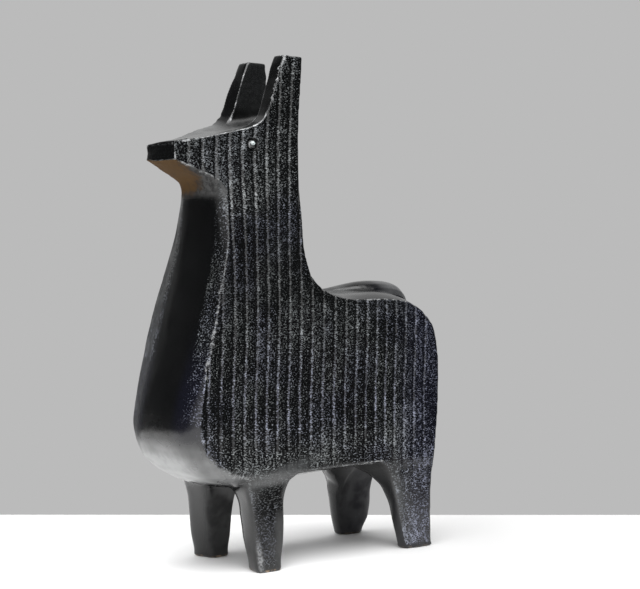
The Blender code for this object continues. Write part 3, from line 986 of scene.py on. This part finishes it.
# painted glint on the top of each eye bead
glint = recipe.times(recipe.attribute("eye_glint"), patches(900, 0.35, 0.55, 0.4, 1.0, detail=1.0))
colour = recipe.mix(glint, colour, EYE_GLINT)
recipe.put(shader.inputs["Base Color"], colour)
tell("bare clay and eyes")

# %% [markdown]
# ## Shine and feel
#
# Specks are duller than the black between them, dust is duller too, the thin glaze and the clay
# under the jaw have hardly any shine, and the eyes are glassy. The specks also stand up by a
# few hundredths of a millimetre, which breaks the highlights as in the real glaze.

# %% Set the shine and the feel
SPECK_DULLER = 0.15
EYE_GLASSIER = 0.08
JAW_DULLER = 0.80
DUST_DULLER = 0.20
GLAZE_IOR = 1.55
SPECK_RELIEF = 0.03 * MM
rough = recipe.plus(patches(90, 0.3, 0.7, 0.15, 0.21), recipe.times(speck_share, SPECK_DULLER))
rough = recipe.minus(rough, recipe.times(recipe.attribute("eye"), EYE_GLASSIER))
rough = recipe.plus(rough, recipe.times(thin_jaw, JAW_DULLER))
dull = recipe.times(recipe.attribute("dull"), patches(110, 0.32, 0.68, 0.22, 0.80, detail=3.0))
rough = recipe.plus(rough, dull)
rough = recipe.plus(rough, recipe.times(dust_and_sheen, DUST_DULLER))
recipe.put(shader.inputs["Roughness"], rough)
shader.inputs["IOR"].default_value = GLAZE_IOR
relief = recipe.plus(recipe.times(speck, 0.6), recipe.noise(where, 420))
bump = recipe.add("ShaderNodeBump", {"Height": relief, "Distance": SPECK_RELIEF, "Strength": 1.0})
recipe.put(shader.inputs["Normal"], bump.outputs[0])
tell("shine and feel")

# %% Glaze the llama
llama.data.materials.clear()
llama.data.materials.append(glaze)
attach(llama, "root")
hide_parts("llama_figure")

# %% [markdown]
# ## The table
#
# The figure stands on a plain white table top, which ends a little more than a hand's width
# behind it. It is a slab with a softened edge, turned to face the camera.

# %% Make the table top
TABLE_LEFT = 0.50
TABLE_RIGHT = 0.30
TABLE_DEPTH = 0.9
TABLE_THICK = 0.03
TABLE_BEHIND = 0.13
EDGE_ROUND = 0.004
away = Vector((-math.sin(CAMERA_TURN), math.cos(CAMERA_TURN), 0.0))
to_right = Vector((math.cos(CAMERA_TURN), math.sin(CAMERA_TURN), 0.0))
centre = away * (TABLE_BEHIND - TABLE_DEPTH / 2) + to_right * (TABLE_RIGHT - TABLE_LEFT) / 2
bpy.ops.object.select_all(action="DESELECT")
bpy.ops.mesh.primitive_cube_add(
    size=1.0, location=(centre.x, centre.y, -TABLE_THICK / 2), rotation=(0, 0, CAMERA_TURN),
    scale=(TABLE_LEFT + TABLE_RIGHT, TABLE_DEPTH, TABLE_THICK))
table = bpy.context.object
table.name = "table_top"
bpy.ops.object.transform_apply(location=True, rotation=True, scale=True)
shape(table, "BEVEL", width=EDGE_ROUND, segments=3)
print("table top:", len(table.data.polygons), "faces")

# %% [markdown]
# The white is painted darker to the right, as painted shade away from the light. The strip past
# the picture's right edge is painted nearly black as painted shade: the glossy flank mirrors
# it, and so stays as dark as the real one.

# %% Paint the table top
TABLE_WHITE = (0.90, 0.90, 0.90, 1)
TABLE_SHADE = (0.56, 0.56, 0.56, 1)
TABLE_DARK = (0.10, 0.10, 0.10, 1)
SHADE_FROM = -0.02
SHADE_TO = 0.13
DARK_FROM = 0.235
DARK_TO = 0.285
TABLE_ROUGHNESS = 0.6
paint = bpy.data.materials.new("white_table")
paint.use_nodes = True
paint_shader = paint.node_tree.nodes["Principled BSDF"]
top = Recipe(paint.node_tree)
place = top.add("ShaderNodeTexCoord").outputs["Object"]
sideways = top.add("ShaderNodeVectorMath", {0: place, 1: tuple(to_right)}, operation="DOT_PRODUCT")
sideways = sideways.outputs["Value"]
# painted shade: the table darker to the right, and a nearly black strip past the picture's edge
shaded = top.mix(top.step(sideways, SHADE_FROM, SHADE_TO), TABLE_WHITE, TABLE_SHADE)
shaded = top.mix(top.step(sideways, DARK_FROM, DARK_TO), shaded, TABLE_DARK)
top.put(paint_shader.inputs["Base Color"], shaded)
paint_shader.inputs["Roughness"].default_value = TABLE_ROUGHNESS
table.data.materials.append(paint)

# %% [markdown]
# ## The light
#
# A glossy black surface shows what stands around it more than the light that falls on it. So
# the studio is drawn as a world of soft glows: a broad one overhead, a pale one behind the
# figure, one around the camera that catches the sides of the flutes, and a weak one before its
# face. To the right it is dark, which keeps the flank black. The camera itself sees none of
# them, only an even grey backdrop.

# %% Draw the studio around the figure
GLOWS = [
    # azimuth from the figure's front towards its left, elevation, angle out to which it is
    # bright, angle at which it ends, all in degrees, and strength
    (46, 70, 15, 45, 6.4),
    (231, 8, 35, 70, 0.5),
    (50, 4, 18, 36, 1.1),
    (8, 8, 12, 26, 0.5),
]
ROOM = 0.038
BACKDROP = 0.497
world = bpy.data.worlds.new("studio")
bpy.context.scene.world = world
world.use_nodes = True
sky = Recipe(world.node_tree)
background = world.node_tree.nodes["Background"]
toward = sky.add("ShaderNodeTexCoord").outputs["Generated"]


def glow(azimuth, elevation, inner, outer, strength):
    """A soft round patch of light in one direction."""
    around, above = math.radians(azimuth), math.radians(elevation)
    middle = (math.sin(around) * math.cos(above), -math.cos(around) * math.cos(above),
              math.sin(above))
    near = sky.add("ShaderNodeVectorMath", {0: toward, 1: middle}, operation="DOT_PRODUCT")
    return sky.step(near.outputs["Value"], math.cos(math.radians(outer)),
                    math.cos(math.radians(inner)), 0.0, strength)


total = ROOM
for lobe in GLOWS:
    total = sky.plus(total, glow(*lobe))
seen = sky.add("ShaderNodeLightPath").outputs["Is Camera Ray"]
sky.put(background.inputs["Strength"], sky.blend(seen, total, BACKDROP))
background.inputs["Color"].default_value = (1.0, 1.0, 1.0, 1.0)
bpy.context.scene.view_settings.view_transform = "Standard"
print("studio:", len(GLOWS), "glows")
